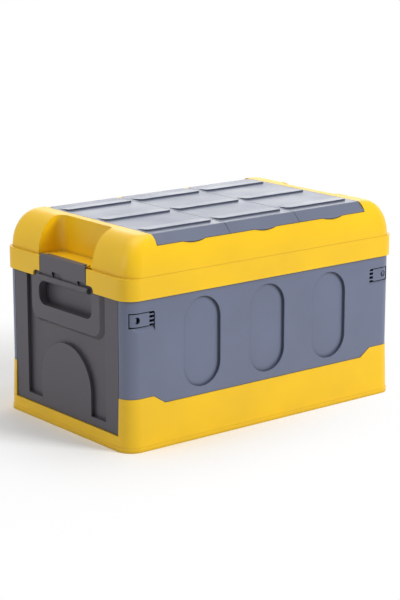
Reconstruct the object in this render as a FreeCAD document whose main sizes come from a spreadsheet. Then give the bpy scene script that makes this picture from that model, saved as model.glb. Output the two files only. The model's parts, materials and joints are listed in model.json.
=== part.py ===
import FreeCAD, Part
import math
import os
import re
import Sketcher

# Collapsible storage crate, in millimetres. +Z is up, +X runs along the crate and the
# front face looks to -Y. The origin is at the middle of the footprint, on the floor.
# The crate is the same after half a turn about Z, so each end and each long side is
# drawn once, at -X or -Y, and its twin is that piece turned round.

SIZES = [
    # overall body
    ("body_length", 514, "length over the base walls at their top"),
    ("body_width", 306, "width over the base walls at their top"),
    ("corner_radius", 22, "vertical corner of the body"),
    ("skin", 3, "moulded wall thickness"),
    ("clearance", 0.4, "gap between pieces that move past each other"),
    ("least_side", 0.01, "shortest straight side of a sketched outline"),
    ("seat_gap", 0.3, "gap where one piece rests on another"),
    ("running_gap", 0.06, "radial gap of a rod in its bore"),
    # base tray
    ("base_spread", 2.5, "how far the base flares out at the floor, each side"),
    ("lip_height", 7, "height of the foot lip"),
    ("lip_reach", 1, "how far the foot lip stands out"),
    ("floor_rise", 2, "rib depth under the floor"),
    ("floor_top", 5, "top of the tray floor"),
    ("sill_height", 65, "top of the base along the long sides"),
    ("post_height", 78, "top of the corner posts"),
    ("post_wall", 4, "wall of the corner posts"),
    ("post_reach", 46, "corner post, from the end to where its slope begins"),
    ("step_run", 20, "length of the slope down from a corner post"),
    ("end_sill_height", 22, "top of the base across the ends"),
    ("sill_depth", 16, "depth of the hollow sills"),
    ("tray_radius", 10, "inside corner of the tray"),
    ("rib_width", 2, "ribs under the floor"),
    ("rib_cells_long", 6, "cells between the floor ribs, lengthwise"),
    ("rib_cells_wide", 4, "cells between the floor ribs, crosswise"),
    # long walls
    ("wall_inset", 0.6, "side walls stand this far inside the base and lid faces"),
    ("wall_depth", 8, "depth of a long wall with its ribs"),
    ("wall_top", 250, "top of the long walls"),
    ("oval_width", 68, "width of an oval recess"),
    ("oval_height", 134, "height of an oval recess"),
    ("oval_middle", 144, "height of the middle of the oval recesses"),
    ("oval_pitch", 123, "spacing of the oval recesses"),
    ("oval_depth", 4.6, "depth of an oval recess"),
    ("field_width", 108, "cored field behind an oval"),
    ("field_height", 156, "height of a cored field"),
    ("long_rod_radius", 1.8, "hinge rod of a long wall"),
    ("long_rod_height", 70, "height of the long hinge rods"),
    ("long_rod_reach", 190, "half length of a long hinge rod"),
    ("long_lug_width", 18, "hinge lug on a long sill"),
    ("long_lug_pitch", 106, "spacing of those lugs"),
    ("long_lug_depth", 5.6, "thickness of those lugs"),
    ("long_lug_set", 0.2, "those lugs, outboard of the wall's inner face"),
    # release tabs
    ("window_inner", 208, "inboard edge of a tab window, from the middle"),
    ("window_outer", 250, "outboard edge of a tab window, from the middle"),
    ("window_bottom", 174, "bottom of a tab window"),
    ("window_top", 203, "top of a tab window"),
    ("window_depth", 3.4, "depth of the window recess"),
    ("shelf_rise", 7, "height of the sloped shelf under a tab"),
    ("tab_gap", 1.8, "slot round a release tab"),
    ("window_radius", 3.5, "corners of a tab window"),
    ("tab_inset", 1.4, "release tab face, inside the wall face"),
    ("tab_skin", 2.4, "thickness of a release tab"),
    ("tab_rib_length", 9, "flexing strips at the root of a tab"),
    ("tab_rib_height", 2.2, "height of one flexing strip"),
    ("dimple_radius", 5, "finger dimple of a tab"),
    ("dimple_depth", 1.3, "depth of the finger dimple"),
    # end walls
    ("end_thickness", 11, "thickness of an end wall"),
    ("end_top", 249, "top of the end walls"),
    ("end_side_gap", 0.9, "gap each side of an end wall"),
    ("end_lip_reach", 5, "stop lip behind the long wall's corner"),
    ("end_lip_thickness", 1.8, "thickness of that stop lip"),
    ("end_lip_start", 2, "foot of that stop lip, above the corner posts"),
    ("relief_depth", 6, "depth of the sunk field of an end wall"),
    ("relief_half_width", 99, "half width of the sunk field"),
    ("relief_bottom", 35, "bottom of the sunk field"),
    ("relief_top", 232, "top of the sunk field"),
    ("arch_radius", 62.5, "raised arch"),
    ("arch_spring", 68, "height where the arch begins to curve"),
    ("surround_half_width", 86, "raised surround of the handle pocket"),
    ("surround_bottom", 157, "bottom of that surround"),
    ("surround_radius", 16, "its lower corners"),
    ("surround_slope", 6, "run of its sloping sides"),
    ("pocket_half_width", 67, "handle pocket"),
    ("pocket_bottom", 179, "bottom of the handle pocket"),
    ("pocket_top", 215, "top of the handle pocket"),
    ("pocket_depth", 15, "depth of the handle pocket"),
    ("pocket_radius", 14, "lower corners of the handle pocket"),
    ("core_depth", 7.5, "hollows in the back of an end wall"),
    ("end_rod_radius", 2, "hinge rod of an end wall"),
    ("end_rod_inset", 9.5, "that rod, inboard of the body's end face"),
    ("end_rod_height", 26.5, "height of that rod"),
    ("end_barrel_radius", 3.9, "barrel round that rod"),
    ("end_lug_width", 14, "hinge lug on an end sill"),
    ("end_lug_pitch", 58, "spacing of those lugs"),
    # grip bars
    ("bar_height", 221.5, "height of the grip bar"),
    ("bar_stand_off", 2.1, "bar axis, outside the end wall face"),
    ("bar_radius", 2.8, "grip bar"),
    ("boss_radius", 4.5, "bosses that carry the grip bar"),
    ("bar_half_length", 64, "half length of the grip bar"),
    ("inner_boss_from", 3, "boss between the latch lips"),
    ("inner_boss_to", 27, "its other end"),
    ("outer_boss_width", 27, "boss at the bar's plain end"),
    ("far_boss_width", 9, "boss at the bar's other end"),
    # lid
    ("band_overhang", 3, "lid band beyond the body, each side"),
    ("band_bottom", 221, "bottom of the lid band"),
    ("band_top", 253, "top of the lid band"),
    ("deck_top", 308, "top of the lid"),
    ("ledge_end", 5, "ledge above the band at the ends"),
    ("ledge_side", 1, "step above the band along the sides"),
    ("crown_run_end", 38, "run of the crown's curve at the ends"),
    ("crown_run_side", 24, "run of the crown's curve at the sides"),
    ("crest_radius", 12, "crown corner in plan, at the top"),
    ("rim_reach_end", 17, "lid's resting flange at the ends, inside the band"),
    ("rim_reach_side", 11, "lid's resting flange along the sides"),
    ("rim_thickness", 2.7, "thickness of the resting flange"),
    ("scoop_half_width", 67.5, "finger scoop in the lid's end"),
    ("scoop_back", 213, "back wall of the scoop, from the middle"),
    ("scoop_radius", 14, "corners of the scoop"),
    ("notch_half_width", 76, "notch in the band over the grip bar"),
    ("notch_rise", 9, "height of that notch"),
    ("notch_radius", 7, "corners of that notch"),
    # flaps
    ("flap_half_span", 199.5, "half length of the three flaps together"),
    ("flap_seam", 0.8, "gap between two flaps"),
    ("flap_skin", 3, "thickness of a flap"),
    ("flap_front", 133, "front edge of the flaps' flat top"),
    ("apron_drop", 13.5, "height of the apron"),
    ("apron_out", 14.5, "how far the apron slopes outward"),
    ("apron_bend", 4, "rounding of the bend above the apron"),
    ("tab_lip_half_width", 21, "finger lip of a flap"),
    ("tab_lip_drop", 2.6, "how far the finger lip reaches below the apron"),
    ("flap_axis_back", 124, "hinge line of the flaps"),
    ("flap_barrel_radius", 3.7, "hinge barrel of a flap"),
    ("flap_pin_radius", 1.5, "flap hinge pin"),
    ("flap_ear_width", 6, "lid ear that holds a flap pin"),
    ("pad_inset", 6.5, "raised step, from the flap's side"),
    ("pad_rise", 2.5, "height of a raised step"),
    ("pad_run", 27, "length of the ramp up to a raised step"),
    ("pad_pitch", 96.5, "spacing of the raised steps"),
    ("pad_first", 115, "front edge of the first step"),
    ("pad_corner", 7, "corner of a raised step"),
    ("hatch_margin_side", 12, "deck left beside an access opening"),
    ("hatch_margin_front", 18, "deck left in front of it"),
    ("hatch_margin_back", 16, "deck left behind it"),
    ("hatch_radius", 10, "corners of an access opening"),
    ("hatch_rim_drop", 9, "stiffening rim under an access opening"),
    # latches
    ("latch_half_width", 57.5, "latch plate"),
    ("latch_skin", 2.6, "thickness of the latch plate"),
    ("latch_bottom", 229, "lower edge of the latch plate"),
    ("latch_axis_inset", 10, "latch pin, inboard of the band face"),
    ("latch_barrel_radius", 2.4, "barrel of the latch"),
    ("latch_pin_radius", 1.2, "latch pin"),
    ("latch_ear_width", 4, "lid ear that holds the latch pin"),
    ("latch_barrel_half", 49, "half length of the latch barrel"),
    ("latch_seat_depth", 1.5, "hollow in the ledge under the latch barrel"),
    ("latch_slot_width", 8, "slot through the ledge beside the latch ears"),
    ("latch_edge", 1.5, "rounding of the latch plate's top edge"),
    ("latch_neck", 1.5, "neck between the plate and its hooks"),
    ("latch_cut_gap", 1.8, "gap round the latch plate in the band"),
    ("latch_notch_rise", 5, "how far the plate stops short above the inner boss"),
]

doc = FreeCAD.newDocument("storage_crate")
sheet = doc.addObject("Spreadsheet::Sheet", "dimensions")
for row, (alias, size, meaning) in enumerate(SIZES, start=1):
    sheet.set(f"A{row}", meaning)
    sheet.set(f"B{row}", str(size))
    sheet.setAlias(f"B{row}", alias)
doc.recompute()

PLANES = {"XY": "XY_Plane", "XZ": "XZ_Plane", "YZ": "YZ_Plane"}
UP = FreeCAD.Vector(0, 0, 1)
EDGE_TOLERANCE = 0.01
SUB_PARTS = []


def bound(formula):
    """Write each size's name in a formula as a reference to its spreadsheet cell."""
    return re.sub(r"\b([a-z]\w*)\b(?!\()", r"dimensions.\1", str(formula))


def number(formula):
    """The present value of a formula."""
    return float(sheet.evalExpression(bound(formula)))


# ---------------------------------------------------------------- sketches

def hold(sketch, kind, *where, formula):
    """Add a dimension to a sketch and tie it to a formula."""
    index = sketch.addConstraint(Sketcher.Constraint(kind, *where, number(formula)))
    sketch.setExpression(f"Constraints[{index}]", bound(formula))


def pin_point(sketch, curve, end, x, y):
    """Fix a sketch point at (x, y) from the origin."""
    hold(sketch, "DistanceX", -1, 1, curve, end, formula=x)
    hold(sketch, "DistanceY", -1, 1, curve, end, formula=y)


def polygon(*points):
    """A closed outline of straight lines through points given as formulas."""
    def draw(sketch):
        first = sketch.GeometryCount
        spots = [FreeCAD.Vector(number(x), number(y), 0) for x, y in points]
        for here, there in zip(spots, spots[1:] + spots[:1]):
            sketch.addGeometry(Part.LineSegment(here, there))
        for step, (x, y) in enumerate(points):
            before = first + (step - 1) % len(points)
            sketch.addConstraint(Sketcher.Constraint("Coincident", before, 2, first + step, 1))
            pin_point(sketch, first + step, 1, x, y)
    return draw


def block(x_from, x_to, y_from, y_to):
    """A plain rectangle between four formulas."""
    return polygon((x_from, y_from), (x_to, y_from), (x_to, y_to), (x_from, y_to))


def rounded(x_mid, y_mid, half_x, half_y, radius):
    """A rectangle with rounded corners: its middle, half sizes and corner radius."""
    def draw(sketch):
        first = sketch.GeometryCount
        x, y, a, b, r = (number(f) for f in (x_mid, y_mid, half_x, half_y, radius))
        for turn, (sx, sy) in enumerate(((1, 1), (-1, 1), (-1, -1), (1, -1))):
            centre = FreeCAD.Vector(x + sx * (a - r), y + sy * (b - r), 0)
            circle = Part.Circle(centre, UP, r)
            start = turn * math.pi / 2
            sketch.addGeometry(Part.ArcOfCircle(circle, start, start + math.pi / 2))
            along = FreeCAD.Vector(-sy if turn % 2 else 0, 0 if turn % 2 else -sx, 0)
            reach = FreeCAD.Vector(0, sy * r, 0) if turn % 2 == 0 else FreeCAD.Vector(sx * r, 0, 0)
            run = 2 * (b - r) if turn % 2 else 2 * (a - r)
            side = FreeCAD.Vector(-sx, 0, 0) if turn % 2 == 0 else FreeCAD.Vector(0, -sy, 0)
            sketch.addGeometry(Part.LineSegment(centre + reach, centre + reach + side * run))
        for turn in range(4):
            arc = first + 2 * turn
            line = arc + 1
            after = first + (2 * turn + 2) % 8
            sketch.addConstraint(Sketcher.Constraint("Tangent", arc, 2, line, 1))
            sketch.addConstraint(Sketcher.Constraint("Tangent", line, 2, after, 1))
            level = "Horizontal" if turn % 2 == 0 else "Vertical"
            sketch.addConstraint(Sketcher.Constraint(level, line))
            if turn:
                sketch.addConstraint(Sketcher.Constraint("Equal", first, arc))
        hold(sketch, "Radius", first, formula=radius)
        far = f"({x_mid}) + ({half_x}) - ({radius})", f"({y_mid}) + ({half_y}) - ({radius})"
        near = f"({x_mid}) - ({half_x}) + ({radius})", f"({y_mid}) - ({half_y}) + ({radius})"
        pin_point(sketch, first, 3, *far)
        pin_point(sketch, first + 4, 3, *near)
    return draw


def arch(half_width, foot, spring):
    """An upright outline, straight below the spring line and half round above it."""
    def draw(sketch):
        first = sketch.GeometryCount
        a, low, high = number(half_width), number(foot), number(spring)
        spot = FreeCAD.Vector
        circle = Part.Circle(spot(0, high, 0), UP, a)
        sketch.addGeometry(Part.ArcOfCircle(circle, 0, math.pi))
        sketch.addGeometry(Part.LineSegment(spot(-a, high, 0), spot(-a, low, 0)))
        sketch.addGeometry(Part.LineSegment(spot(-a, low, 0), spot(a, low, 0)))
        sketch.addGeometry(Part.LineSegment(spot(a, low, 0), spot(a, high, 0)))
        for here, there in ((0, 1), (3, 0)):
            sketch.addConstraint(Sketcher.Constraint("Tangent", first + here, 2, first + there, 1))
        for here in (1, 2):
            sketch.addConstraint(Sketcher.Constraint("Coincident", first + here, 2, first + here + 1, 1))
        sketch.addConstraint(Sketcher.Constraint("Horizontal", first + 2))
        sketch.addConstraint(Sketcher.Constraint("Vertical", first + 1))
        hold(sketch, "Radius", first, formula=half_width)
        pin_point(sketch, first, 3, "0", spring)
        hold(sketch, "DistanceY", -1, 1, first + 2, 1, formula=foot)
    return draw


def disc(x, y, radius):
    """A circle."""
    def draw(sketch):
        first = sketch.GeometryCount
        centre = FreeCAD.Vector(number(x), number(y), 0)
        sketch.addGeometry(Part.Circle(centre, UP, number(radius)))
        hold(sketch, "Radius", first, formula=radius)
        pin_point(sketch, first, 3, x, y)
    return draw


def oval(x, y, width, height):
    """An upright stadium."""
    return rounded(x, y, f"({width}) / 2", f"({height}) / 2", f"({width}) / 2 - least_side")


# ---------------------------------------------------------------- features

def body_named(label):
    """A new empty body, whose label names its file."""
    body = doc.addObject("PartDesign::Body", label)
    body.Label = label
    return body


def sketch_on(body, name, plane, offset, *outlines):
    """A sketch of the given outlines on one of the body's own planes, moved along it."""
    sketch = body.newObject("Sketcher::SketchObject", name)
    role = PLANES[plane]
    origin = [part for part in body.Origin.OriginFeatures if part.Role == role][0]
    sketch.AttachmentSupport = [(origin, "")]
    sketch.MapMode = "FlatFace"
    sketch.AttachmentOffset.Base.z = number(offset)
    sketch.setExpression("AttachmentOffset.Base.z", bound(offset))
    for outline in outlines:
        outline(sketch)
    sketch.Visibility = False
    return sketch


def sketch_on_apron(body, name, middle, depth, *outlines):
    """A sketch in the plane of the aprons, its origin at the lower edge and sunk by a depth."""
    sketch = sketch_on(body, name, "XZ", "0", *outlines)
    sketch.setExpression("AttachmentOffset.Rotation.Axis.x", "1")
    sketch.setExpression("AttachmentOffset.Rotation.Axis.z", "0")
    sketch.setExpression("AttachmentOffset.Rotation.Angle", bound("-atan(apron_out / apron_drop)"))
    places = {"x": middle, "y": f"deck_top - apron_drop - ({depth}) * apron_out / {APRON_LENGTH}",
              "z": f"flap_front + apron_out - ({depth}) * apron_drop / {APRON_LENGTH}"}
    for axis, formula in places.items():
        sketch.setExpression(f"AttachmentOffset.Base.{axis}", bound(formula))
    return sketch


def smile(half_width, drop, overlap):
    """A flat arc below a straight edge, from half its width, its drop and the overlap above."""
    def draw(sketch):
        first = sketch.GeometryCount
        a, low, high = number(half_width), number(drop), number(overlap)
        left, right = FreeCAD.Vector(-a, 0, 0), FreeCAD.Vector(a, 0, 0)
        upper_right, upper_left = FreeCAD.Vector(a, high, 0), FreeCAD.Vector(-a, high, 0)
        sketch.addGeometry(Part.Arc(left, FreeCAD.Vector(0, -low, 0), right))
        sketch.addGeometry(Part.LineSegment(right, upper_right))
        sketch.addGeometry(Part.LineSegment(upper_right, upper_left))
        sketch.addGeometry(Part.LineSegment(upper_left, left))
        pin_point(sketch, first, 1, f"-({half_width})", "0")
        pin_point(sketch, first, 2, half_width, "0")
        hold(sketch, "Radius", first,
             formula=f"(({half_width}) * ({half_width}) + ({drop}) * ({drop})) / 2 / ({drop})")
        for here, there in ((0, 1), (1, 2), (2, 3), (3, 0)):
            sketch.addConstraint(Sketcher.Constraint("Coincident", first + here, 2, first + there, 1))
        sketch.addConstraint(Sketcher.Constraint("Vertical", first + 1))
        sketch.addConstraint(Sketcher.Constraint("Horizontal", first + 2))
        hold(sketch, "DistanceY", -1, 1, first + 2, 1, formula=overlap)
    return draw


def add(body, name, plane, start, end, *outlines):
    """Pad outlines between two places along the third axis."""
    offset = f"-({end})" if plane == "XZ" else start
    pad = body.newObject("PartDesign::Pad", name)
    pad.Profile = sketch_on(body, name + "_outline", plane, offset, *outlines)
    pad.setExpression("Length", bound(f"({end}) - ({start})"))
    pad.Refine = False
    body.Tip = pad
    return pad


def cut(body, name, plane, start, end, *outlines):
    """Pocket outlines between two places along the third axis."""
    offset = f"-({start})" if plane == "XZ" else end
    pocket = body.newObject("PartDesign::Pocket", name)
    pocket.Profile = sketch_on(body, name + "_outline", plane, offset, *outlines)
    pocket.setExpression("Length", bound(f"({end}) - ({start})"))
    pocket.Refine = False
    body.Tip = pocket
    return pocket


def loft(body, name, kind, *sections, plane="XY"):
    """Additive or subtractive loft through sections given as (place along the third axis, outline)."""
    feature = body.newObject("PartDesign::" + kind, name)
    sketches = [sketch_on(body, f"{name}_{step}", plane, height, outline)
                for step, (height, outline) in enumerate(sections)]
    feature.Profile = sketches[0]
    feature.Sections = sketches[1:]
    feature.Ruled = len(sections) == 2
    feature.Refine = False
    body.Tip = feature
    return feature


def round_edges(body, name, radius, wanted):
    """Fillet the edges of the present shape that a test picks."""
    doc.recompute()
    base = body.Tip
    picked = [f"Edge{place}" for place, edge in enumerate(base.Shape.Edges, start=1)
              if wanted(edge)]
    fillet = body.newObject("PartDesign::Fillet", name)
    fillet.Base = (base, picked)
    fillet.Radius = number(radius)
    fillet.setExpression("Radius", bound(radius))
    body.Tip = fillet
    return fillet


def same(*pairs):
    """Whether both numbers of each pair agree within the tolerance of a picked edge."""
    return all(abs(one - other) < EDGE_TOLERANCE for one, other in pairs)


def runs_along_x(edge, y, z):
    """An edge that runs along X at one y and z."""
    box = edge.BoundBox
    return same((box.YMin, y), (box.YMax, y), (box.ZMin, z), (box.ZMax, z))


def runs_along_y(edge, x, z):
    """An edge that runs along Y at one x and z."""
    box = edge.BoundBox
    return same((box.XMin, x), (box.XMax, x), (box.ZMin, z), (box.ZMax, z))


def runs_up(edge, low, high):
    """An upright edge from one height to another."""
    box = edge.BoundBox
    return same((box.XMin, box.XMax), (box.YMin, box.YMax), (box.ZMin, low), (box.ZMax, high))


def finish(body, turned=False):
    """Keep a sub-part, with half a turn about Z where it is the far twin."""
    body.Tip.Refine = True
    turn = FreeCAD.Rotation(UP, 180 if turned else 0)
    body.Placement = FreeCAD.Placement(FreeCAD.Vector(), turn)
    SUB_PARTS.append(body)


def rod(label, axis, start, end, across, up, radius, turned=False):
    """A round rod along X or Y."""
    body = body_named(label)
    plane = "YZ" if axis == "X" else "XZ"
    add(body, label + "_rod", plane, start, end, disc(across, up, radius))
    finish(body, turned)


def spread(count, pitch):
    """Formulas for places spaced evenly about zero."""
    return [f"{step - (count - 1) / 2} * {pitch}" for step in range(count)]


# ---------------------------------------------------------------- shared formulas

HALF_LONG = "body_length / 2"
HALF_WIDE = "body_width / 2"
WALL_X = "(body_length / 2 - wall_inset)"
WALL_Y = "(body_width / 2 - wall_inset)"
WALL_R = "(corner_radius - wall_inset)"
END_IN = f"({WALL_X} - end_thickness)"
END_SIDE = "(body_width / 2 - corner_radius - end_side_gap)"
END_AXIS = "(body_length / 2 - end_rod_inset)"
LONG_AXIS = f"({WALL_Y} - wall_depth + long_lug_depth / 2 + long_lug_set)"
APRON_LENGTH = "sqrt(apron_out * apron_out + apron_drop * apron_drop)"
END_LUGS = 5
LONG_LUGS = 4
OVALS = 3
TAB_STRIPS = 3
FLAP_STEPS = 3


def base_tray():
    """The base: a flared block with a foot lip, cut down between its corner posts and hollowed."""
    body = body_named("base_tray")
    bottom = rounded("0", "0", f"{HALF_LONG} + base_spread", f"{HALF_WIDE} + base_spread",
                     "corner_radius + base_spread")
    top = rounded("0", "0", HALF_LONG, HALF_WIDE, "corner_radius")
    loft(body, "flared_block", "AdditiveLoft", ("0", bottom), ("post_height", top))
    lip = rounded("0", "0", f"{HALF_LONG} + base_spread + lip_reach / 2",
                  f"{HALF_WIDE} + base_spread + lip_reach / 2", "corner_radius + base_spread")
    add(body, "foot_lip", "XY", "0", "lip_height", lip)
    far = f"({HALF_LONG} + sill_depth)"
    post = f"({HALF_LONG} - post_reach)"
    slope = f"({post} - step_run)"
    cut(body, "between_posts", "XZ", f"-{HALF_WIDE} - sill_depth", f"{HALF_WIDE} + sill_depth",
        polygon((f"-{slope}", "sill_height"), (slope, "sill_height"), (post, "post_height"),
                (post, "post_height + skin"), (f"-{post}", "post_height + skin"),
                (f"-{post}", "post_height")))
    side = f"({HALF_WIDE} - corner_radius)"
    cut(body, "between_end_posts", "YZ", f"-{far}", far,
        block(f"-{side}", side, "end_sill_height", "post_height + skin"))
    cut(body, "above_sills", "XY", "sill_height", "post_height + skin",
        rounded("0", "0", f"{HALF_LONG} - post_wall", f"{HALF_WIDE} - post_wall",
                "corner_radius - post_wall"))
    cut(body, "tray", "XY", "floor_top", "post_height",
        rounded("0", "0", f"{HALF_LONG} - sill_depth", f"{HALF_WIDE} - sill_depth", "tray_radius"))
    hollow_sills(body)
    lugs(body)
    floor_ribs(body)
    finish(body)


def hollow_sills(body):
    """The sills are channels, open to the floor."""
    out_y, in_y = f"({HALF_WIDE} - skin)", f"({HALF_WIDE} - sill_depth + skin)"
    out_x, in_x = f"({HALF_LONG} - skin)", f"({HALF_LONG} - sill_depth + skin)"
    run = f"({HALF_LONG} - corner_radius)"
    across = f"({HALF_WIDE} - corner_radius)"
    for side, sign in (("front", "-"), ("rear", "")):
        cut(body, side + "_channel", "XY", "0", "sill_height - skin",
            rounded("0", f"{sign}({out_y} + {in_y}) / 2", run, f"({out_y} - {in_y}) / 2", "skin"))
    for side, sign in (("left", "-"), ("right", "")):
        cut(body, side + "_channel", "XY", "0", "end_sill_height - skin",
            rounded(f"{sign}({out_x} + {in_x}) / 2", "0", f"({out_x} - {in_x}) / 2", across, "skin"))


def floor_ribs(body):
    """Shallow cells under the floor leave a grid of ribs."""
    long_span = f"({HALF_LONG} - sill_depth) * 2"
    wide_span = f"({HALF_WIDE} - sill_depth) * 2"
    columns, rows = int(number("rib_cells_long")), int(number("rib_cells_wide"))
    cells = []
    for x in spread(columns, f"({long_span}) / rib_cells_long"):
        for y in spread(rows, f"({wide_span}) / rib_cells_wide"):
            half_x = f"({long_span}) / rib_cells_long / 2 - rib_width / 2"
            half_y = f"({wide_span}) / rib_cells_wide / 2 - rib_width / 2"
            cells.append(block(f"{x} - ({half_x})", f"{x} + {half_x}",
                               f"{y} - ({half_y})", f"{y} + {half_y}"))
    cut(body, "floor_cells", "XY", "0", "floor_rise", *cells)


def gaps_between(count, pitch, width, low, high):
    """Outlines of the gaps between evenly spaced lugs, as (along, up) rectangles."""
    places = spread(count, pitch)
    return [block(f"{here} + {width} / 2", f"{there} - {width} / 2", low, high)
            for here, there in zip(places, places[1:])]


def lug_row(body, name, plane, gap_plane, axis, eye, count, pitch, width, sill, height, bore):
    """A row of hinge lugs: one bar with a round top, parted by gaps and bored for its rod."""
    reach = f"({(count - 1) / 2} * {pitch} + {width} / 2)"
    add(body, name + "_foot", plane, f"-{reach}", reach,
        block(f"{axis} - {eye}", f"{axis} + {eye}", f"{sill} - skin / 2", height))
    add(body, name + "_eye", plane, f"-{reach}", reach, disc(axis, height, eye))
    cut(body, name + "_gaps", gap_plane, f"{axis} - {eye} - skin", f"{axis} + {eye} + skin",
        *gaps_between(count, pitch, width, sill, f"{height} + {eye} + skin"))
    cut(body, name + "_bore", plane, f"-{reach}", reach, disc(axis, height, f"{bore} + running_gap"))


def lugs(body):
    """Hinge lugs on the end sills and the long sills."""
    for side, sign in (("left", "-"), ("right", "")):
        lug_row(body, side + "_lugs", "XZ", "YZ", f"{sign}{END_AXIS}", "end_barrel_radius",
                END_LUGS, "end_lug_pitch", "end_lug_width", "end_sill_height", "end_rod_height",
                "end_rod_radius")
    for side, sign in (("front", "-"), ("rear", "")):
        lug_row(body, side + "_lugs", "YZ", "XZ", f"{sign}{LONG_AXIS}", "(long_lug_depth / 2)",
                LONG_LUGS, "long_lug_pitch", "long_lug_width", "sill_height", "long_rod_height",
                "long_rod_radius")


def long_wall(label, turned):
    """A long side wall with its wrapped corners, drawn at the front."""
    body = body_named(label)
    foot = "sill_height + seat_gap"
    add(body, "shell", "XY", foot, "wall_top", rounded("0", "0", WALL_X, WALL_Y, WALL_R))
    cut(body, "inside", "XY", "0", "wall_top + skin",
        rounded("0", "0", f"{WALL_X} - wall_depth", f"{WALL_Y} - wall_depth",
                f"{WALL_R} - wall_depth"))
    tangent = f"-({HALF_WIDE} - corner_radius)"
    cut(body, "open_half", "XY", "0", "wall_top + skin",
        block(f"-{HALF_LONG}", HALF_LONG, tangent, HALF_WIDE))
    post = f"({HALF_LONG} - post_reach)"
    slope = f"({post} - step_run)"
    for side, sign in (("left", "-"), ("right", "")):
        cut(body, side + "_post_notch", "XZ", f"-{HALF_WIDE}", "0",
            polygon((f"{sign}{HALF_LONG}", "0"), (f"{sign}({slope} - seat_gap)", "0"),
                    (f"{sign}({slope} - seat_gap)", foot),
                    (f"{sign}({post} - seat_gap)", "post_height + seat_gap"),
                    (f"{sign}{HALF_LONG}", "post_height + seat_gap")))
    face = f"-{WALL_Y}"
    for step, x in enumerate(spread(OVALS, "oval_pitch")):
        cut(body, f"oval_{step}", "XZ", face, f"{face} + oval_depth",
            oval(x, "oval_middle", "oval_width", "oval_height"))
        cut(body, f"field_{step}", "XZ", f"{face} + skin", f"{face} + wall_depth",
            rounded(x, "oval_middle", "field_width / 2", "field_height / 2", "tray_radius"),
            oval(x, "oval_middle", "oval_width + 2 * skin", "oval_height + 2 * skin"))
    for side, sign in (("left", "-"), ("right", "")):
        tab_window(body, side, sign)
    start, end = f"-{LONG_AXIS} - long_lug_depth / 2 - clearance", f"{face} + wall_depth"
    for step, x in enumerate(spread(LONG_LUGS, "long_lug_pitch")):
        cut(body, f"lug_notch_{step}", "XZ", start, end,
            block(f"{x} - long_lug_width / 2 - clearance", f"{x} + long_lug_width / 2 + clearance",
                  "0", "long_rod_height + long_lug_depth / 2 + clearance"))
    cut(body, "rod_bore", "YZ", "-long_rod_reach - clearance", "long_rod_reach + clearance",
        disc(f"-{LONG_AXIS}", "long_rod_height", "long_rod_radius + running_gap"))
    finish(body, turned)


def tab_window(body, side, sign):
    """The opening round a release tab, with a sloped shelf below it."""
    face = f"-{WALL_Y}"
    shelf = "window_bottom + shelf_rise"
    deep = f"{face} + {WALL_R}"
    cut(body, side + "_window", "YZ", *between(f"{sign}window_inner", f"{sign}window_outer"),
        polygon((f"{face} - skin", "window_bottom"), (face, "window_bottom"),
                (f"{face} + window_depth", shelf), (deep, shelf), (deep, "window_top"),
                (f"{face} - skin", "window_top")))
    corners = [(f"{sign}window_inner", "window_top"), (f"{sign}window_inner", shelf)]
    spots = [(number(x), number(z)) for x, z in corners]
    round_edges(body, side + "_window_corners", "window_radius",
                lambda edge: any(runs_along_y(edge, x, z) for x, z in spots))


def between(one, other):
    """Two formulas, the lower value first."""
    return (one, other) if number(one) < number(other) else (other, one)


def release_tab(label, sign, turned):
    """A springy tab that follows the wall round its corner, drawn at the front."""
    body = body_named(label)
    low, high = "(window_bottom + shelf_rise + tab_gap)", "(window_top - tab_gap)"
    outer, inner = [rounded("0", "0", f"{WALL_X} - ({inset})", f"{WALL_Y} - ({inset})",
                            f"{WALL_R} - ({inset})") for inset in ("tab_inset", "tab_inset + tab_skin")]
    add(body, "curved_skin", "XY", low, high, outer, inner)
    root, tip = f"{sign}(window_inner + clearance)", f"{sign}(window_outer - tab_gap)"
    far, beyond = f"{sign}{HALF_LONG}", f"{sign}(-{HALF_LONG})"
    cut(body, "rear_half", "XY", low, high, block(f"-{HALF_LONG}", HALF_LONG, "0", HALF_WIDE))
    cut(body, "past_tip", "XY", low, high, block(*between(far, tip), f"-{HALF_WIDE}", "0"))
    cut(body, "past_root", "XY", low, high, block(*between(beyond, root), f"-{HALF_WIDE}", "0"))
    plate = f"{sign}(window_inner + tab_rib_length)"
    strip = "tab_rib_height / 2"
    levels = [f"({low} + ({high} - {low}) * {2 * step + 1} / {2 * TAB_STRIPS})"
              for step in range(TAB_STRIPS)]
    sides = [f"{level} {way} {strip}" for level in levels for way in "-+"]
    edges = [f"{low} - tab_skin", *sides, f"{high} + tab_skin"]
    gaps = [block(*between(root, plate), lower, upper)
            for lower, upper in zip(edges[0::2], edges[1::2])]
    cut(body, "between_strips", "XZ", f"-{HALF_WIDE}", "0", *gaps)
    middle = f"{sign}(window_outer - tab_gap - dimple_radius - 2 * tab_skin)"
    floor = f"-({WALL_Y} - tab_inset - 2 * dimple_depth)"
    cut(body, "dimple", "XZ", f"-{HALF_WIDE}", floor,
        disc(middle, f"({low} + {high}) / 2", "dimple_radius"))
    finish(body, turned)


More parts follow.
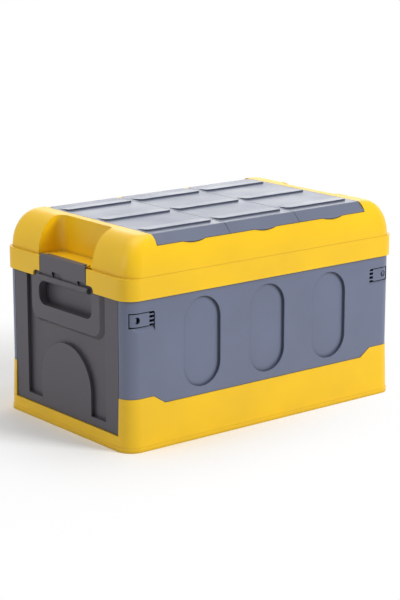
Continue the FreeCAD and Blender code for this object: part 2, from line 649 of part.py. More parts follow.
def end_wall(label, turned):
    """A fold-down end wall, drawn at the left."""
    body = body_named(label)
    face = f"-{WALL_X}"
    foot = "(end_sill_height + clearance)"
    add(body, "slab", "YZ", face, f"-{END_IN}", block(f"-{END_SIDE}", END_SIDE, foot, "end_top"))
    lip_side = f"({END_SIDE} + end_lip_reach)"
    add(body, "stop_lips", "YZ", f"-{END_IN} - end_lip_thickness", f"-{END_IN}",
        block(f"-{lip_side}", lip_side, "post_height + end_lip_start", "end_top"))
    sunk = f"{face} + relief_depth"
    cut(body, "field", "YZ", face, sunk,
        rounded("0", "(relief_bottom + relief_top) / 2", "relief_half_width",
                "(relief_top - relief_bottom) / 2", "skin"))
    add(body, "arch", "YZ", face, sunk, arch("arch_radius", "relief_bottom - skin", "arch_spring"))
    middle = "((surround_bottom + relief_top) / 2 + surround_radius)"
    height = "((relief_top - surround_bottom) / 2 + surround_radius)"
    brow = rounded("0", middle, "surround_half_width", height, "surround_radius")
    root = rounded("0", middle, "surround_half_width + surround_slope", f"{height} + surround_slope",
                   "surround_radius + surround_slope")
    loft(body, "surround", "AdditiveLoft", (face, brow), (sunk, root), plane="YZ")
    cut(body, "above_wall", "YZ", face, f"-{END_IN}",
        block(f"-{HALF_WIDE}", HALF_WIDE, "end_top", "relief_top + 4 * surround_radius"))
    add(body, "pocket_pan", "YZ", f"{face} + relief_depth", f"{face} + pocket_depth + skin",
        rounded("0", "(pocket_bottom + pocket_top) / 2", "pocket_half_width + skin",
                "(pocket_top - pocket_bottom) / 2 + skin", "pocket_radius + skin"))
    cut(body, "pocket", "YZ", face, f"{face} + pocket_depth",
        rounded("0", "(pocket_bottom + pocket_top) / 2", "pocket_half_width",
                "(pocket_top - pocket_bottom) / 2", "pocket_radius"))
    hollow_back(body, face)
    axis = f"-{END_AXIS}"
    cut(body, "heel", "YZ", axis, f"-{END_IN}",
        block(f"-{END_SIDE}", END_SIDE, "end_sill_height", "end_rod_height"))
    add(body, "barrel", "XZ", f"-{END_SIDE}", END_SIDE,
        disc(axis, "end_rod_height", "end_barrel_radius"))
    for step, y in enumerate(spread(END_LUGS, "end_lug_pitch")):
        start = f"{y} - end_lug_width / 2 - clearance"
        end = f"{y} + end_lug_width / 2 + clearance"
        cut(body, f"lug_notch_{step}", "XZ", start, end,
            block(f"{axis} - end_barrel_radius - 2 * clearance", f"{axis} + end_barrel_radius + skin",
                  "0", "end_rod_height + end_barrel_radius + 2 * clearance"))
    cut(body, "rod_bore", "XZ", f"-{HALF_WIDE}", HALF_WIDE,
        disc(axis, "end_rod_height", "end_rod_radius + running_gap"))
    bar_bosses(body, face)
    finish(body, turned)


def hollow_back(body, face):
    """Cores from the inside keep the raised parts of an end wall about one skin thick."""
    back = f"-{END_IN}"
    deep = f"{back} - core_depth"
    cut(body, "arch_core", "YZ", deep, back,
        arch("arch_radius - skin", "relief_bottom + skin", "arch_spring"))
    stile = f"(({END_SIDE} + relief_half_width) / 2)"
    for side, sign in (("rear", ""), ("front", "-")):
        cut(body, side + "_stile_core", "YZ", deep, back,
            rounded(f"{sign}{stile}", "(relief_bottom + relief_top) / 2",
                    f"({END_SIDE} - relief_half_width) / 2 - skin",
                    "(relief_top - relief_bottom) / 2", "skin"))


def bar_bosses(body, face):
    """Bosses on the top of the surround carry the grip bar."""
    axis = f"({face} - bar_stand_off)"
    ends = (("far_boss", "bar_half_length - far_boss_width", "bar_half_length"),
            ("inner_boss", "inner_boss_from", "inner_boss_to"),
            ("outer_boss", "-bar_half_length", "outer_boss_width - bar_half_length"))
    for name, start, end in ends:
        add(body, name + "_web", "XZ", start, end,
            block(axis, f"{face} + skin", "bar_height - boss_radius", "bar_height + boss_radius"))
        add(body, name, "XZ", start, end, disc(axis, "bar_height", "boss_radius"))
    cut(body, "bar_bore", "XZ", "-bar_half_length - clearance", "bar_half_length + clearance",
        disc(axis, "bar_height", "bar_radius + running_gap"))


def grip_bar(label, turned):
    """The round bar over a handle pocket, drawn at the left."""
    rod(label, "Y", "-bar_half_length", "bar_half_length", f"-{WALL_X} - bar_stand_off", "bar_height",
        "bar_radius", turned)


def latch(label, turned):
    """A latch plate that hangs from the lid and hooks over the grip bar, drawn at the left."""
    body = body_named(label)
    face = f"(-{HALF_LONG} - band_overhang)"
    axis_x, axis_z = f"({face} + latch_axis_inset)", LATCH_Z
    top, low = f"({axis_z} + latch_barrel_radius)", f"({axis_z} - latch_barrel_radius)"
    add(body, "plate", "XZ", "-latch_half_width", "latch_half_width",
        block(face, f"{face} + latch_skin", "latch_bottom", top))
    add(body, "bridge", "XZ", "-latch_barrel_half", "latch_barrel_half",
        block(face, axis_x, low, top))
    add(body, "barrel", "XZ", "-latch_barrel_half", "latch_barrel_half",
        disc(axis_x, axis_z, "latch_barrel_radius"))
    bar_x = f"(-{WALL_X} - bar_stand_off)"
    back = f"(-{WALL_X} - clearance)"
    hooks = (("far_hook", "inner_boss_to + clearance",
              "bar_half_length - far_boss_width - clearance"),
             ("near_hook", "outer_boss_width + clearance - bar_half_length",
              "inner_boss_from - clearance"))
    for name, start, end in hooks:
        add(body, name + "_neck", "XZ", start, end,
            block(f"{back} - latch_neck", back, "bar_height + bar_radius", "latch_bottom + skin"))
        add(body, name, "XZ", start, end, disc(bar_x, "bar_height", "boss_radius"))
        cut(body, name + "_eye", "XZ", start, end, disc(bar_x, "bar_height", "bar_radius + clearance"))
        cut(body, name + "_mouth", "XZ", start, end,
            block(bar_x, back, "bar_height - 2 * boss_radius", "bar_height"))
        cut(body, name + "_back", "XZ", start, end,
            block(back, f"{back} + 2 * boss_radius", "bar_height - 2 * boss_radius",
                  "bar_height + 2 * boss_radius"))
    cut(body, "boss_notch", "XZ", "inner_boss_from", "inner_boss_to",
        block(f"{face} - skin", f"{face} + skin", "latch_bottom - skin",
              "latch_bottom + latch_notch_rise"))
    cut(body, "corner_notch", "XZ", "-latch_half_width", "outer_boss_width - bar_half_length",
        block(f"{face} - skin", f"{face} + skin", "latch_bottom - skin", "latch_bottom + skin"))
    cut(body, "pin_bore", "XZ", "-latch_barrel_half", "latch_barrel_half",
        disc(axis_x, axis_z, "latch_pin_radius + running_gap"))
    round_edges(body, "top_edge", "latch_edge", lambda edge: runs_along_y(edge, number(face), number(top)))
    finish(body, turned)


LATCH_Z = "(band_top - latch_seat_depth + clearance + latch_barrel_radius)"
LATCH_REACH = "(latch_barrel_half + clearance + latch_ear_width)"
FLAP_Z = "(deck_top - flap_barrel_radius)"
FLAP_WIDE = "(flap_half_span * 2 / 3)"


def flap(label, place):
    """A hinged flap of the lid: its plate, its sloping apron and three raised steps."""
    body = body_named(label)
    middle = f"({place} * {FLAP_WIDE})"
    left = f"({middle} - {FLAP_WIDE} / 2 + flap_seam / 2)"
    right = f"({middle} + {FLAP_WIDE} / 2 - flap_seam / 2)"
    front, top = "-flap_front", "deck_top"
    in_y = f"(flap_skin * apron_drop / {APRON_LENGTH})"
    in_z = f"(flap_skin * apron_out / {APRON_LENGTH})"
    low_y, low_z = "(-flap_front - apron_out)", "(deck_top - apron_drop)"
    bend = f"(-flap_front + flap_skin * ({APRON_LENGTH} - apron_out) / apron_drop)"
    add(body, "plate", "YZ", left, right,
        polygon((front, top), (low_y, low_z), (f"{low_y} + {in_y}", f"{low_z} - {in_z}"),
                (bend, f"{top} - flap_skin"), ("flap_axis_back", f"{top} - flap_skin"),
                ("flap_axis_back", top)))
    add(body, "barrel", "YZ", left, right, disc("flap_axis_back", FLAP_Z, "flap_barrel_radius"))
    lip = body.newObject("PartDesign::Pad", "finger_lip")
    lip.Profile = sketch_on_apron(body, "finger_lip_outline", middle, "flap_skin",
                                  smile("tab_lip_half_width", "tab_lip_drop", "flap_skin"))
    lip.setExpression("Length", bound("flap_skin"))
    lip.Refine = False
    body.Tip = lip
    for side, start, end in (("left", left, f"{left} + flap_ear_width + clearance"),
                             ("right", f"{right} - flap_ear_width - clearance", right)):
        cut(body, side + "_ear_notch", "XY", f"{top} - 3 * flap_barrel_radius", f"{top} + flap_skin",
            block(start, end, "flap_axis_back - flap_barrel_radius - clearance",
                  "flap_axis_back + flap_barrel_radius + flap_skin"))
    cut(body, "pin_bore", "YZ", left, right,
        disc("flap_axis_back", FLAP_Z, "flap_pin_radius + running_gap"))
    for step in range(FLAP_STEPS):
        edge = f"(-pad_first + {step} * pad_pitch)"
        add(body, f"ramp_{step}", "YZ", f"{left} + pad_inset", f"{right} - pad_inset",
            polygon((edge, f"{top} - flap_skin / 2"), (f"{edge} + pad_run", f"{top} - flap_skin / 2"),
                    (f"{edge} + pad_run", top), (edge, f"{top} + pad_rise")))
    round_edges(body, "ramp_corners", "pad_corner",
                lambda edge: runs_up(edge, number("deck_top"), number("deck_top + pad_rise")))
    round_edges(body, "apron_bend_round", "apron_bend",
                lambda edge: runs_along_x(edge, -number("flap_front"), number("deck_top")))
    finish(body)


def flap_pin(label, place):
    """The steel pin through a flap's barrel and the lid's ears."""
    middle = f"({place} * {FLAP_WIDE})"
    reach = f"({FLAP_WIDE} / 2 - flap_seam)"
    rod(label, "X", f"{middle} - {reach}", f"{middle} + {reach}", "flap_axis_back", FLAP_Z,
        "flap_pin_radius")


DECK_UNDER = "(deck_top - flap_skin - clearance - skin)"
CREST_X = f"({HALF_LONG} + band_overhang - ledge_end - crown_run_end)"
CREST_Y = f"({HALF_WIDE} + band_overhang - ledge_side - crown_run_side)"
CROWN_STEPS = 6


def crown_sections(inset, top):
    """Rounded rectangles that shrink along a quarter ellipse from the band to the top."""
    foot_radius = "(corner_radius + band_overhang - ledge_side)"
    sections = []
    for step in range(CROWN_STEPS + 1):
        angle = 90 * step / CROWN_STEPS
        height = f"band_top + ({top} - band_top) * sin({angle})"
        radius = f"crest_radius + ({foot_radius} - crest_radius) * cos({angle}) - ({inset})"
        half_x = f"{CREST_X} + crown_run_end * cos({angle}) - ({inset})"
        half_y = f"{CREST_Y} + crown_run_side * cos({angle}) - ({inset})"
        sections.append((height, rounded("0", "0", half_x, half_y, radius)))
    return sections


def hatch(place, grow):
    """Outline of the access opening under a flap, grown by a margin."""
    back, front = "(flap_axis_back - hatch_margin_back)", "(flap_front - hatch_margin_front)"
    return rounded(f"{place} * {FLAP_WIDE}", f"({back} - {front}) / 2",
                   f"{FLAP_WIDE} / 2 - hatch_margin_side + {grow}", f"({back} + {front}) / 2 + {grow}",
                   f"hatch_radius + {grow}")


def apron_line(depth, drop):
    """Bend and lower end of a line that runs under the aprons at a depth, as (y, z) pairs."""
    bend = (f"-flap_front + ({depth}) * ({APRON_LENGTH} - apron_out) / apron_drop",
            f"deck_top - ({depth})")
    in_y = f"(({depth}) * apron_drop - ({drop}) * apron_out) / {APRON_LENGTH}"
    in_z = f"(({depth}) * apron_out + ({drop}) * apron_drop) / {APRON_LENGTH}"
    low = f"-flap_front - apron_out + {in_y}", f"deck_top - apron_drop - {in_z}"
    return bend, low


def flap_seat(depth, drop):
    """What lies above the surface that the flaps rest on, out past the lid's front and back."""
    bend, low = apron_line(depth, drop)
    out = (f"{low[0]} - 3 * apron_drop", f"{low[1]} + 3 * apron_out")
    return polygon((HALF_WIDE, f"deck_top - ({depth})"), bend, low, out,
                   (f"-{HALF_WIDE}", "deck_top + 3 * apron_out"),
                   (HALF_WIDE, "deck_top + 3 * apron_out"))


def lid_cavity():
    """The hollow of the lid: the crown's inside, less the scoops and the stiffened places."""
    body = body_named("lid_cavity")
    loft(body, "hollow", "AdditiveLoft", *crown_sections("skin", DECK_UNDER))
    add(body, "rim_opening", "XY", "band_top - rim_thickness", "band_top",
        rounded("0", "0", f"{HALF_LONG} - rim_reach_end", f"{HALF_WIDE} - rim_reach_side", "corner_radius"))
    low, high = "band_top - 2 * rim_thickness", "deck_top + skin"
    for side, sign in (("left", "-"), ("right", "")):
        cut(body, side + "_scoop_wall", "XY", low, high,
            block(*between(f"{sign}{HALF_LONG}", f"{sign}(scoop_back - skin)"),
                  "-scoop_half_width - skin", "scoop_half_width + skin"))
    reach = "(flap_half_span + skin)"
    cut(body, "apron_backing", "YZ", f"-{reach}", reach,
        flap_seat("flap_skin + clearance + skin", "clearance + skin"))
    cut(body, "hinge_backing", "YZ", f"-{reach}", reach,
        block("flap_axis_back - 2 * flap_barrel_radius", HALF_WIDE,
              f"{FLAP_Z} - flap_barrel_radius - skin", "deck_top"))
    rims = [hatch(place, grow) for place in (-1, 0, 1) for grow in ("skin", "0")]
    cut(body, "hatch_rims", "XY", f"{DECK_UNDER} - hatch_rim_drop", "deck_top", *rims)
    return body


def lid_frame():
    """The lid: a domed crown on a band, hollowed, with the flaps' seat, hinge row and hatches."""
    body = body_named("lid_frame")
    band_x, band_y = f"{HALF_LONG} + band_overhang", f"{HALF_WIDE} + band_overhang"
    loft(body, "crown", "AdditiveLoft", *crown_sections("0", "deck_top"))
    add(body, "band", "XY", "band_bottom", "band_top",
        rounded("0", "0", band_x, band_y, "corner_radius + band_overhang"))
    cut(body, "band_inside", "XY", "band_bottom", "band_top - rim_thickness",
        rounded("0", "0", HALF_LONG, HALF_WIDE, "corner_radius"))
    hollow = body.newObject("PartDesign::Boolean", "hollow_out")
    hollow.Type = "Cut"
    hollow.setObjects([lid_cavity()])
    body.Tip = hollow
    reach = "(flap_half_span + clearance)"
    cut(body, "flap_recess", "YZ", f"-{reach}", reach, flap_seat("flap_skin + clearance", "clearance"))
    flap_hinge(body)
    cut(body, "hatches", "XY", f"{DECK_UNDER} - hatch_rim_drop", "deck_top",
        *[hatch(place, "0") for place in (-1, 0, 1)])
    for side, sign in (("left", "-"), ("right", "")):
        lid_end(body, side, sign)
    finish(body)


def flap_hinge(body):
    """A bar along the back of the deck, cut away where the flaps' barrels turn, and bored."""
    radius = "(flap_barrel_radius - seat_gap)"
    add(body, "hinge_foot", "YZ", "-flap_half_span - skin", "flap_half_span + skin",
        block(f"flap_axis_back - {radius}", f"flap_axis_back + {radius}",
              f"{FLAP_Z} - flap_barrel_radius - skin / 2", FLAP_Z))
    add(body, "hinge_eye", "YZ", "-flap_half_span - skin", "flap_half_span + skin",
        disc("flap_axis_back", FLAP_Z, radius))
    inner = f"({FLAP_WIDE} / 2 - flap_seam / 2 - flap_ear_width)"
    for step, place in enumerate((-1, 0, 1)):
        middle = f"({place} * {FLAP_WIDE})"
        cut(body, f"barrel_trough_{step}", "YZ", f"{middle} - {inner}", f"{middle} + {inner}",
            disc("flap_axis_back", FLAP_Z, "flap_barrel_radius + clearance"))
        recess = body.newObject("PartDesign::Pocket", f"lip_recess_{step}")
        room = smile("tab_lip_half_width + 2 * clearance", "tab_lip_drop + 2 * clearance", "flap_skin")
        recess.Profile = sketch_on_apron(body, f"lip_recess_{step}_outline", middle,
                                         "flap_skin + clearance", room)
        recess.Reversed = True
        recess.setExpression("Length", bound("3 * apron_drop"))
        recess.Refine = False
        body.Tip = recess
    cut(body, "pin_bore", "YZ", "-flap_half_span", "flap_half_span",
        disc("flap_axis_back", FLAP_Z, "flap_pin_radius + running_gap"))


def lid_end(body, side, sign):
    """The scoop, the latch opening with its ears and the notch over the grip bar, at one end."""
    face = f"{sign}({HALF_LONG} + band_overhang)"
    past = f"{sign}({HALF_LONG} + 3 * band_overhang)"
    half = f"({HALF_LONG} / 2)"
    cut(body, side + "_scoop", "XY", "band_top", "deck_top + skin",
        rounded(f"{sign}(scoop_back + {half})", "0", half, "scoop_half_width", "scoop_radius"))
    opening = "(latch_half_width + latch_cut_gap)"
    cut(body, side + "_latch_opening", "YZ", *between(past, f"{sign}{HALF_LONG}"),
        block(f"-{opening}", opening, "band_bottom - skin", "band_top"))
    cut(body, side + "_bar_notch", "YZ", *between(past, f"{sign}{HALF_LONG}"),
        rounded("0", "band_bottom", "notch_half_width", "notch_rise", "notch_radius"))
    axis = f"{sign}({HALF_LONG} + band_overhang - latch_axis_inset)"
    seat_back = f"({axis} - {sign}(latch_barrel_radius + clearance))"
    start, end = "latch_barrel_half + clearance", LATCH_REACH
    cut(body, side + "_latch_seat", "XY", "band_top - latch_seat_depth", "band_top",
        block(*between(past, seat_back), f"-({end})", end))
    inner = f"{sign}{HALF_LONG}"
    for flank, lows, highs in (("front", f"-({end})", f"-({start})"), ("rear", start, end)):
        name = f"{side}_{flank}_latch_ear"
        add(body, name + "_foot", "XZ", lows, highs,
            block(f"{axis} - latch_barrel_radius", f"{axis} + latch_barrel_radius",
                  "band_top - rim_thickness", LATCH_Z))
        add(body, name + "_eye", "XZ", lows, highs, disc(axis, LATCH_Z, "latch_barrel_radius"))
        way = "-" if flank == "front" else ""
        cut(body, f"{side}_{flank}_latch_slot", "XY", "band_top - 2 * rim_thickness", "band_top",
            block(*between(inner, f"({inner} - {sign}latch_slot_width)"),
                  *between(f"{way}({end} + clearance)", f"{way}scoop_half_width")))
    cut(body, side + "_latch_bore", "XZ", f"-({end})", end,
        disc(axis, LATCH_Z, "latch_pin_radius + running_gap"))


def latch_pin(label, turned):
    """The steel pin through a latch's barrel and the lid's ears, drawn at the left."""
    rod(label, "Y", f"-{LATCH_REACH}", LATCH_REACH,
        f"-({HALF_LONG} + band_overhang - latch_axis_inset)", LATCH_Z, "latch_pin_radius", turned)


def whole_crate():
    """Every sub-part of the crate, with its twins."""
    base_tray()
    for label, turned in (("front_wall", False), ("rear_wall", True)):
        long_wall(label, turned)
        rod(label + "_hinge_rod", "X", "-long_rod_reach", "long_rod_reach", f"-{LONG_AXIS}",
            "long_rod_height", "long_rod_radius", turned)
    for side, turned in (("left", False), ("right", True)):
        end_wall(side + "_end_wall", turned)
        rod(side + "_end_hinge_rod", "Y", f"clearance - {END_SIDE}", f"{END_SIDE} - clearance",
            f"-{END_AXIS}", "end_rod_height", "end_rod_radius", turned)
        grip_bar(side + "_grip_bar", turned)
        latch(side + "_latch", turned)
        latch_pin(side + "_latch_pin", turned)
    lid_frame()
    for place, side in ((-1, "left"), (0, "middle"), (1, "right")):
        flap(side + "_flap", place)
        flap_pin(side + "_flap_pin", place)
    release_tab("front_left_release_tab", "-", False)
    release_tab("front_right_release_tab", "", False)
    release_tab("rear_right_release_tab", "-", True)
    release_tab("rear_left_release_tab", "", True)


def write_parts():
    """Check each object and shape, then write one file for each sub-part."""
    doc.recompute()
    faults = [part.Name for part in doc.Objects if {"Invalid", "Error"} & set(part.State)]
    for body in SUB_PARTS:
        shape = body.Shape
        if shape.isNull() or not shape.isValid() or len(shape.Solids) != 1:
            faults.append(body.Label)
    if faults:
        raise RuntimeError("failed: " + ", ".join(faults))
    os.makedirs("parts", exist_ok=True)
    for body in SUB_PARTS:
        body.Shape.exportStep(f"parts/{body.Label}.step")
        box = body.Shape.BoundBox
        span = " ".join(f"{low:7.1f}..{high:6.1f}" for low, high in
                        ((box.XMin, box.XMax), (box.YMin, box.YMax), (box.ZMin, box.ZMax)))
        print(f"{body.Label:26s} {body.Shape.Volume / 1000:8.1f} cm3  {span}")


whole_crate()
write_parts()
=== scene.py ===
import json
import math

import bpy
import numpy as np
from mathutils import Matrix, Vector

# Collapsible storage crate: yellow base and lid frame, slate blue long walls, charcoal
# ends and slate grey top flaps, all injection moulded polypropylene with a fine satin grain.

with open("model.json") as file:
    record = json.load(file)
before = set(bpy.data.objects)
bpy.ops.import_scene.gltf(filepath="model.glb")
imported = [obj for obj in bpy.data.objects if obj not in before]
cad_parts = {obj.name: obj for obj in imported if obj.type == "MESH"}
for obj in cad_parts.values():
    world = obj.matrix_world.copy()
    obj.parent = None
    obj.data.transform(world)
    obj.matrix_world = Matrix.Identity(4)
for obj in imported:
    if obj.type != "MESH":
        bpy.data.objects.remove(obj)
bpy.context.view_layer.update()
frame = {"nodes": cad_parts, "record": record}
nodes = frame["nodes"]
MM = 0.001

# moulded plastic
GRAIN = 0.9 * MM                # the spark eroded grain, as it is drawn
FLOW_MARKS = 85 * MM
SINK_MARKS = 60 * MM
GRAIN_DEPTH = 0.03 * MM
SINK_DEPTH = 0.35 * MM
EDGE_RADIUS = 0.8 * MM
EDGE_BEND = (0.995, 0.86)       # cosine of the bend where an edge starts to pale, and is palest
EDGE_WEAR_AND_HIGHLIGHT = 0.55                # how far the palest edge goes over to the edge colour, both wear and painted highlight
NOISE_SPAN = (0.3, 0.7)         # where most of a noise texture's values lie
FLOW_TONE = 0.045               # flow marks, lighter and darker by this much
FLOW_GLOSS = 0.05               # flow marks, rougher and smoother by this much
# painted shade: seams, creases and inner corners are darkened in the colour
PAINTED_SHADE_REACH = 8 * MM
PAINTED_SHADE_OPENNESS = (0.4, 0.9)      # openness of a corner where the painted shade is darkest, and of one left unshaded
PLASTIC_IOR = 1.49

# drawn steel
STEEL_MOTTLE = 0.5 * MM
STEEL_DEPTH = 0.02 * MM
STEEL_ROUGHNESS = (0.25, 0.4)

# floor, in metres
FLOOR_REACH = 9.0
FLOOR_LINES = 13
FADE_SHIFT = (0.24, -0.12, 0)   # the middle of the shadowed floor lies at minus this
FADE_SPAN = (0.2, 0.62)         # plain white begins at the first distance, and is full at the last


# ---------------------------------------------------------------- materials

def srgb(code):
    """A hex colour as linear red, green and blue with alpha."""
    values = np.array([int(code[i:i + 2], 16) for i in (1, 3, 5)]) / 255
    linear = np.where(values <= 0.04045, values / 12.92, ((values + 0.055) / 1.055) ** 2.4)
    return (*linear.tolist(), 1.0)


def node(tree, kind, inputs=None, **settings):
    """Add one shader node, set its properties and its sockets, or link them where given a socket."""
    made = tree.nodes.new(kind)
    for key, value in settings.items():
        setattr(made, key, value)
    for key, value in (inputs or {}).items():
        if isinstance(value, bpy.types.NodeSocket):
            tree.links.new(value, made.inputs[key])
        else:
            made.inputs[key].default_value = value
    return made


def new_material(name):
    """An empty node material with its output and the object's own coordinates."""
    material = bpy.data.materials.new(name)
    material.use_nodes = True
    tree = material.node_tree
    tree.nodes.clear()
    output = node(tree, "ShaderNodeOutputMaterial")
    place = node(tree, "ShaderNodeTexCoord").outputs["Object"]
    return material, tree, output, place


def ranged(tree, value, span, low, high, **settings):
    """Carry a value from a span to low and high, and hold it there outside the span."""
    return node(tree, "ShaderNodeMapRange", {"Value": value, "From Min": span[0],
                                             "From Max": span[1], "To Min": low, "To Max": high},
                **settings).outputs["Result"]


def seen_rays(tree):
    """One for the rays of the camera, of mirrors and of glass, and zero for those that light."""
    ray = node(tree, "ShaderNodeLightPath").outputs
    mirrored = node(tree, "ShaderNodeMath", {0: ray["Is Camera Ray"], 1: ray["Is Glossy Ray"]},
                    operation="MAXIMUM")
    return node(tree, "ShaderNodeMath", {0: mirrored.outputs[0], 1: ray["Is Transmission Ray"]},
                operation="MAXIMUM").outputs[0]


def moulded_polypropylene(name, code, edge_code, roughness, nook_shade):
    """Satin injection moulded polypropylene.

    The mould was spark eroded, which leaves a fine even grain of about a third of a
    millimetre, drawn here at 0.9 mm so that it shows. Slow cooling leaves broad, faint
    flow and sink marks some centimetres wide. Handled edges are rounded, and paler both
    from wear and as a painted highlight. Painted shade darkens the last millimetres
    before seams and inner corners."""
    material, tree, output, place = new_material(name)
    flow = node(tree, "ShaderNodeTexNoise", {"Vector": place, "Scale": 1 / FLOW_MARKS,
                                             "Detail": 2.0, "Roughness": 0.5})
    grain = node(tree, "ShaderNodeTexNoise", {"Vector": place, "Scale": 1 / GRAIN,
                                              "Detail": 3.0, "Roughness": 0.6})
    sink = node(tree, "ShaderNodeTexNoise", {"Vector": place, "Scale": 1 / SINK_MARKS,
                                             "Detail": 1.0, "Roughness": 0.4})
    rounded = node(tree, "ShaderNodeBevel", {"Radius": EDGE_RADIUS}, samples=6)
    waves = node(tree, "ShaderNodeBump", {"Height": sink.outputs["Fac"], "Distance": SINK_DEPTH,
                                          "Strength": 0.5, "Normal": rounded.outputs["Normal"]})
    relief = node(tree, "ShaderNodeBump", {"Height": grain.outputs["Fac"], "Distance": GRAIN_DEPTH,
                                           "Strength": 0.6, "Normal": waves.outputs["Normal"]})
    flat = node(tree, "ShaderNodeNewGeometry").outputs["Normal"]
    bend = node(tree, "ShaderNodeVectorMath", {0: rounded.outputs["Normal"], 1: flat},
                operation="DOT_PRODUCT")
    # rounded edges pale towards the edge colour: partly wear, partly a painted highlight
    edge = ranged(tree, bend.outputs["Value"], EDGE_BEND, 0.0, EDGE_WEAR_AND_HIGHLIGHT)
    shade = ranged(tree, flow.outputs["Fac"], NOISE_SPAN, 1 - FLOW_TONE, 1 + FLOW_TONE)
    # painted shade: ambient occlusion darkens the colour in seams, creases and inner corners
    nook = node(tree, "ShaderNodeAmbientOcclusion", {"Distance": PAINTED_SHADE_REACH}, samples=8)
    painted_shade = ranged(tree, nook.outputs["AO"], PAINTED_SHADE_OPENNESS, nook_shade, 1.0)
    tone = node(tree, "ShaderNodeMath", {0: shade, 1: painted_shade}, operation="MULTIPLY")
    body = node(tree, "ShaderNodeVectorMath", {0: srgb(code)[:3], "Scale": tone.outputs["Value"]},
                operation="SCALE")
    worn_and_highlighted = node(tree, "ShaderNodeMix", {"Factor": edge, "A": body.outputs["Vector"],
                                        "B": srgb(edge_code)}, data_type="RGBA")
    gloss = ranged(tree, flow.outputs["Fac"], NOISE_SPAN, roughness - FLOW_GLOSS,
                   roughness + FLOW_GLOSS)
    shader = node(tree, "ShaderNodeBsdfPrincipled",
                  {"Base Color": worn_and_highlighted.outputs["Result"], "Roughness": gloss,
                   "IOR": PLASTIC_IOR, "Normal": relief.outputs["Normal"]})
    tree.links.new(shader.outputs["BSDF"], output.inputs["Surface"])
    return material


def drawn_steel(name):
    """Cold drawn steel rod: bright, with a fine mottle half a millimetre wide."""
    material, tree, output, place = new_material(name)
    mottle = node(tree, "ShaderNodeTexNoise", {"Vector": place, "Scale": 1 / STEEL_MOTTLE,
                                               "Detail": 2.0}).outputs["Fac"]
    relief = node(tree, "ShaderNodeBump", {"Height": mottle, "Distance": STEEL_DEPTH,
                                           "Strength": 0.5})
    gloss = ranged(tree, mottle, (0.0, 1.0), *STEEL_ROUGHNESS)
    shader = node(tree, "ShaderNodeBsdfPrincipled",
                  {"Base Color": srgb("#c9c8c4"), "Metallic": 1.0, "Roughness": gloss,
                   "Normal": relief.outputs["Normal"]})
    tree.links.new(shader.outputs["BSDF"], output.inputs["Surface"])
    return material


# each finish: body colour, edge colour (paler, for wear and painted highlight), roughness, and how
# dark its painted shade in seams and corners gets
FINISHES = {
    "yellow_polypropylene": moulded_polypropylene(
        "yellow moulded polypropylene", "#f7c614", "#fbd14c",
        roughness=0.4, nook_shade=0.62),
    "slate_polypropylene": moulded_polypropylene(
        "slate blue moulded polypropylene", "#6b7289", "#868da5",
        roughness=0.42, nook_shade=0.25),
    "charcoal_polypropylene": moulded_polypropylene(
        "charcoal moulded polypropylene", "#504d54", "#6a6870",
        roughness=0.44, nook_shade=0.35),
    "grey_polypropylene": moulded_polypropylene(
        "slate grey moulded polypropylene", "#636a7e", "#7c8397",
        roughness=0.34, nook_shade=0.3),
    "hinge_rod_steel": drawn_steel("drawn steel rod"),
}
for part in frame["record"]["subparts"]:
    piece = nodes[part["node"]]
    piece.data.materials.clear()
    piece.data.materials.append(FINISHES[part["material_slot"]])


# ---------------------------------------------------------------- floor, light, camera

def floor_sheet():
    """A flat square grid on z = 0: every point is (u, v, 0), for u and v within the reach."""
    steps = np.linspace(-FLOOR_REACH, FLOOR_REACH, FLOOR_LINES)
    u, v = np.meshgrid(steps, steps)
    points = np.stack([u.ravel(), v.ravel(), np.zeros(u.size)], axis=1)
    cells = np.arange(FLOOR_LINES - 1)
    corner = (cells[:, None] * FLOOR_LINES + cells).ravel()
    faces = np.stack([corner, corner + 1, corner + FLOOR_LINES + 1, corner + FLOOR_LINES], axis=1)
    mesh = bpy.data.meshes.new("studio_floor")
    mesh.from_pydata(points.tolist(), [], faces.tolist())
    floor = bpy.data.objects.new("studio_floor", mesh)
    bpy.context.scene.collection.objects.link(floor)
    material, tree, output, place = new_material("white painted board")
    board = node(tree, "ShaderNodeBsdfDiffuse", {"Color": srgb("#dcdcdc")})
    lit = node(tree, "ShaderNodeBsdfDiffuse", {"Color": srgb("#ffffff")})
    white = node(tree, "ShaderNodeEmission", {"Color": (1, 1, 1, 1), "Strength": 1.0})
    shifted = node(tree, "ShaderNodeVectorMath", {0: place, 1: FADE_SHIFT}, operation="ADD")
    away = node(tree, "ShaderNodeVectorMath", {0: shifted.outputs["Vector"]}, operation="LENGTH")
    fade = ranged(tree, away.outputs["Value"], FADE_SPAN, 0.0, 1.0,
                  interpolation_type="SMOOTHSTEP")
    seen_floor = node(tree, "ShaderNodeMixShader", {0: fade, 1: lit.outputs[0],
                                                    2: white.outputs[0]})
    shader = node(tree, "ShaderNodeMixShader", {0: seen_rays(tree), 1: board.outputs[0],
                                                2: seen_floor.outputs[0]})
    tree.links.new(shader.outputs[0], output.inputs["Surface"])
    mesh.materials.append(material)


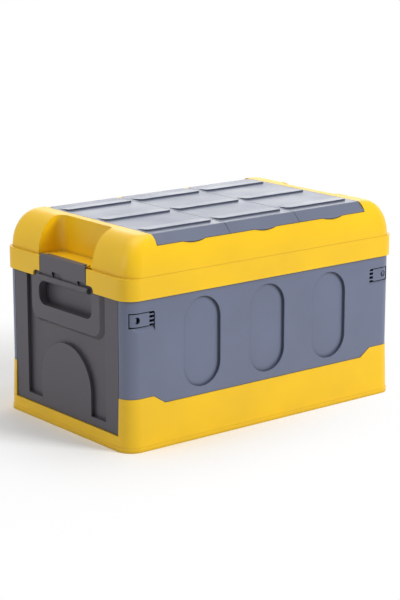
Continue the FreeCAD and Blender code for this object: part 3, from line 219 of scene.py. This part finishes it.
def soft_lamp(name, place, aim, width, height, watts, mirrored=True):
    """A rectangular soft box that faces a point, kept out of reflections if not mirrored."""
    data = bpy.data.lights.new(name, "AREA")
    data.shape = "RECTANGLE"
    data.size, data.size_y, data.energy = width, height, watts
    lamp = bpy.data.objects.new(name, data)
    lamp.location = place
    lamp.rotation_euler = (Vector(aim) - Vector(place)).to_track_quat("-Z", "Y").to_euler()
    lamp.visible_glossy = mirrored
    bpy.context.scene.collection.objects.link(lamp)


def studio_world(strength):
    """Even grey light, seen as plain white by the camera and in reflections."""
    world = bpy.data.worlds.new("studio")
    world.use_nodes = True
    bpy.context.scene.world = world
    tree = world.node_tree
    tree.nodes.clear()
    output = node(tree, "ShaderNodeOutputWorld")
    light = node(tree, "ShaderNodeBackground", {"Color": (1, 1, 1, 1), "Strength": strength})
    white = node(tree, "ShaderNodeBackground", {"Color": (1, 1, 1, 1), "Strength": 1.0})
    choice = node(tree, "ShaderNodeMixShader", {0: seen_rays(tree), 1: light.outputs[0],
                                                2: white.outputs[0]})
    tree.links.new(choice.outputs[0], output.inputs["Surface"])


def studio_camera():
    """A long lens, in metres and degrees, that looks down at the front left corner."""
    data = bpy.data.cameras.new("camera")
    data.sensor_fit = "AUTO"
    data.sensor_width = 36.0
    data.lens = 108.65
    data.clip_end = 50.0
    camera = bpy.data.objects.new("camera", data)
    azimuth, elevation, distance = math.radians(-38.73), math.radians(13.72), 2.825
    target = Vector((0.0175, 0.028, 0.1492))
    back = Vector((math.sin(azimuth) * math.cos(elevation), -math.cos(azimuth) * math.cos(elevation),
                   math.sin(elevation)))
    camera.location = target + back * distance
    camera.rotation_euler = (-back).to_track_quat("-Z", "Y").to_euler()
    bpy.context.scene.collection.objects.link(camera)
    bpy.context.scene.camera = camera


floor_sheet()
soft_lamp("key soft box", place=(1.5, -3.2, 1.9), aim=(0, 0, 0.15), width=1.3, height=1.3,
          watts=97, mirrored=False)
soft_lamp("top soft box", place=(0.0, 0.2, 2.4), aim=(0, 0, 0.2), width=2.4, height=2.0, watts=28)
soft_lamp("left fill", place=(-2.5, 0.5, 1.1), aim=(0, 0, 0.15), width=1.2, height=1.2, watts=13)
soft_lamp("back soft box", place=(1.9, 2.4, 0.9), aim=(0, 0, 0.3), width=2.4, height=1.2, watts=13)
studio_world(strength=0.25)
studio_camera()
bpy.context.scene.view_settings.view_transform = "Standard"
